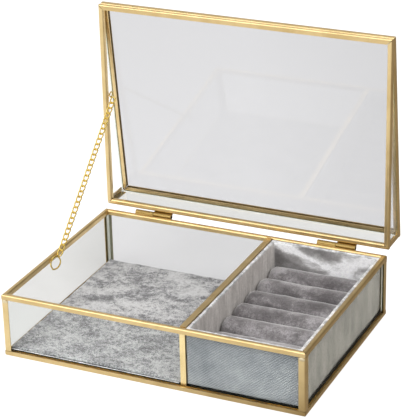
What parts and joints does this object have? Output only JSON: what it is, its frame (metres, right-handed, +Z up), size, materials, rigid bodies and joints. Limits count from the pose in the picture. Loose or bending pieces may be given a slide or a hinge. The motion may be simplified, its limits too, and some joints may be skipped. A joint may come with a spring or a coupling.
{
  "type": "jewelry box",
  "caption": "Glass and brass jewelry box with a wedge-shaped hinged lid on a stay chain, an open velvet compartment and a ring tray.",
  "frame": {"origin": "centre of the base's underside", "axes": "+Z up, +Y to the back where the hinges are, +X to the right seen from the front"},
  "size_m": [0.2, 0.1663, 0.1845],
  "materials": {
    "came_brass": "satin, lightly tarnished, rounded edges",
    "hinge_brass": "satin drawn tube",
    "pin_brass": "dull, in the shade of its tube",
    "chain_brass": "bright polished wire",
    "clear_glass": "clear float glass with greenish edges",
    "crushed_velvet": "silver-grey crushed velvet, mottled",
    "tray_velvet": "warm grey velvet on board, silvery at the rim",
    "roll_velvet": "dark grey velvet over foam, lighter on the crests",
    "black_board": "matt black pressed board"
  },
  "bodies": {
    "base": {"bottom_rail_front": "came_brass", "bottom_rail_back": "came_brass", "bottom_rail_left": "came_brass", "bottom_rail_right": "came_brass", "top_rail_front": "came_brass", "top_rail_back": "came_brass", "top_rail_left": "came_brass", "top_rail_right": "came_brass", "corner_post_front_left": "came_brass", "corner_post_front_right": "came_brass", "corner_post_back_left": "came_brass", "corner_post_back_right": "came_brass", "divider_rail": "came_brass", "divider_post_front": "came_brass", "divider_post_back": "came_brass", "hinge_tube_base_left": "hinge_brass", "hinge_tube_base_right": "hinge_brass", "hinge_pin_left": "pin_brass", "hinge_pin_right": "pin_brass", "chain_ring_base": "chain_brass", "glass_front": "clear_glass", "glass_back": "clear_glass", "glass_left": "clear_glass", "glass_right": "clear_glass", "glass_divider": "clear_glass", "floor_pad": "crushed_velvet", "ring_tray": "tray_velvet", "ring_roll_1": "roll_velvet", "ring_roll_2": "roll_velvet", "ring_roll_3": "roll_velvet", "ring_roll_4": "roll_velvet", "ring_roll_5": "roll_velvet", "ring_roll_6": "roll_velvet", "ring_roll_7": "roll_velvet", "base_board": "black_board"},
    "lid": {"lid_rim_front": "came_brass", "lid_rim_back": "came_brass", "lid_rim_left": "came_brass", "lid_rim_right": "came_brass", "lid_top_rail_front": "came_brass", "lid_top_rail_back": "came_brass", "lid_top_rail_left": "came_brass", "lid_top_rail_right": "came_brass", "lid_post_left": "came_brass", "lid_post_right": "came_brass", "hinge_tube_lid_left": "hinge_brass", "hinge_tube_lid_right": "hinge_brass", "lid_glass_top": "clear_glass", "lid_glass_back": "clear_glass", "lid_glass_left": "clear_glass", "lid_glass_right": "clear_glass", "chain_ring_lid": "chain_brass"},
    "chain_run_1": {"chain_run_1": "chain_brass"},
    "chain_run_2": {"chain_run_2": "chain_brass"},
    "chain_run_3": {"chain_run_3": "chain_brass"},
    "chain_run_4": {"chain_run_4": "chain_brass"},
    "chain_run_5": {"chain_run_5": "chain_brass"},
    "chain_run_6": {"chain_run_6": "chain_brass"},
    "chain_run_7": {"chain_run_7": "chain_brass"},
    "chain_run_8": {"chain_run_8": "chain_brass"}
  },
  "joints": [
    {"name": "lid_hinge", "type": "hinge", "parent": "base", "child": "lid", "pos_m": [0, 0.0722, 0.042], "axis": [1, 0, 0], "range_deg": [0, 90]},
    {"name": "chain_joint_1", "type": "hinge", "parent": "base", "child": "chain_run_1", "pos_m": [-0.0949, -0.0051, 0.0405], "axis": [1, 0, 0], "range_deg": [-134.4, 0]},
    {"name": "chain_joint_2", "type": "hinge", "parent": "chain_run_1", "child": "chain_run_2", "pos_m": [-0.0949, 0.00313, 0.04838], "axis": [1, 0, 0], "range_deg": [0, 7.1]},
    {"name": "chain_joint_3", "type": "hinge", "parent": "chain_run_2", "child": "chain_run_3", "pos_m": [-0.0949, 0.0141, 0.05889], "axis": [1, 0, 0], "range_deg": [0, 53.9]},
    {"name": "chain_joint_4", "type": "hinge", "parent": "chain_run_3", "child": "chain_run_4", "pos_m": [-0.0949, 0.02508, 0.06939], "axis": [1, 0, 0], "range_deg": [0, 48.6]},
    {"name": "chain_joint_8", "type": "hinge", "parent": "lid", "child": "chain_run_8", "pos_m": [-0.0933, 0.0772, 0.1193], "axis": [1, 0, 0], "range_deg": [-34, 0]},
    {"name": "chain_joint_7", "type": "hinge", "parent": "chain_run_8", "child": "chain_run_7", "pos_m": [-0.0933, 0.06897, 0.11142], "axis": [1, 0, 0], "range_deg": [0, 26.2]},
    {"name": "chain_joint_6", "type": "hinge", "parent": "chain_run_7", "child": "chain_run_6", "pos_m": [-0.0933, 0.058, 0.10091], "axis": [1, 0, 0], "range_deg": [0, 62.6]},
    {"name": "chain_joint_5", "type": "hinge", "parent": "chain_run_6", "child": "chain_run_5", "pos_m": [-0.0933, 0.04702, 0.09041], "axis": [1, 0, 0], "range_deg": [-86.1, 0]}
  ],
  "couplings": [
    {"joint": "chain_joint_1", "follows": "lid_hinge", "ratio": -1.4822},
    {"joint": "chain_joint_2", "follows": "lid_hinge", "ratio": 0.0678},
    {"joint": "chain_joint_3", "follows": "lid_hinge", "ratio": 0.5878},
    {"joint": "chain_joint_4", "follows": "lid_hinge", "ratio": 0.5289},
    {"joint": "chain_joint_8", "follows": "lid_hinge", "ratio": -0.3667},
    {"joint": "chain_joint_7", "follows": "lid_hinge", "ratio": 0.28},
    {"joint": "chain_joint_6", "follows": "lid_hinge", "ratio": 0.6844},
    {"joint": "chain_joint_5", "follows": "lid_hinge", "ratio": -0.9456}
  ]
}
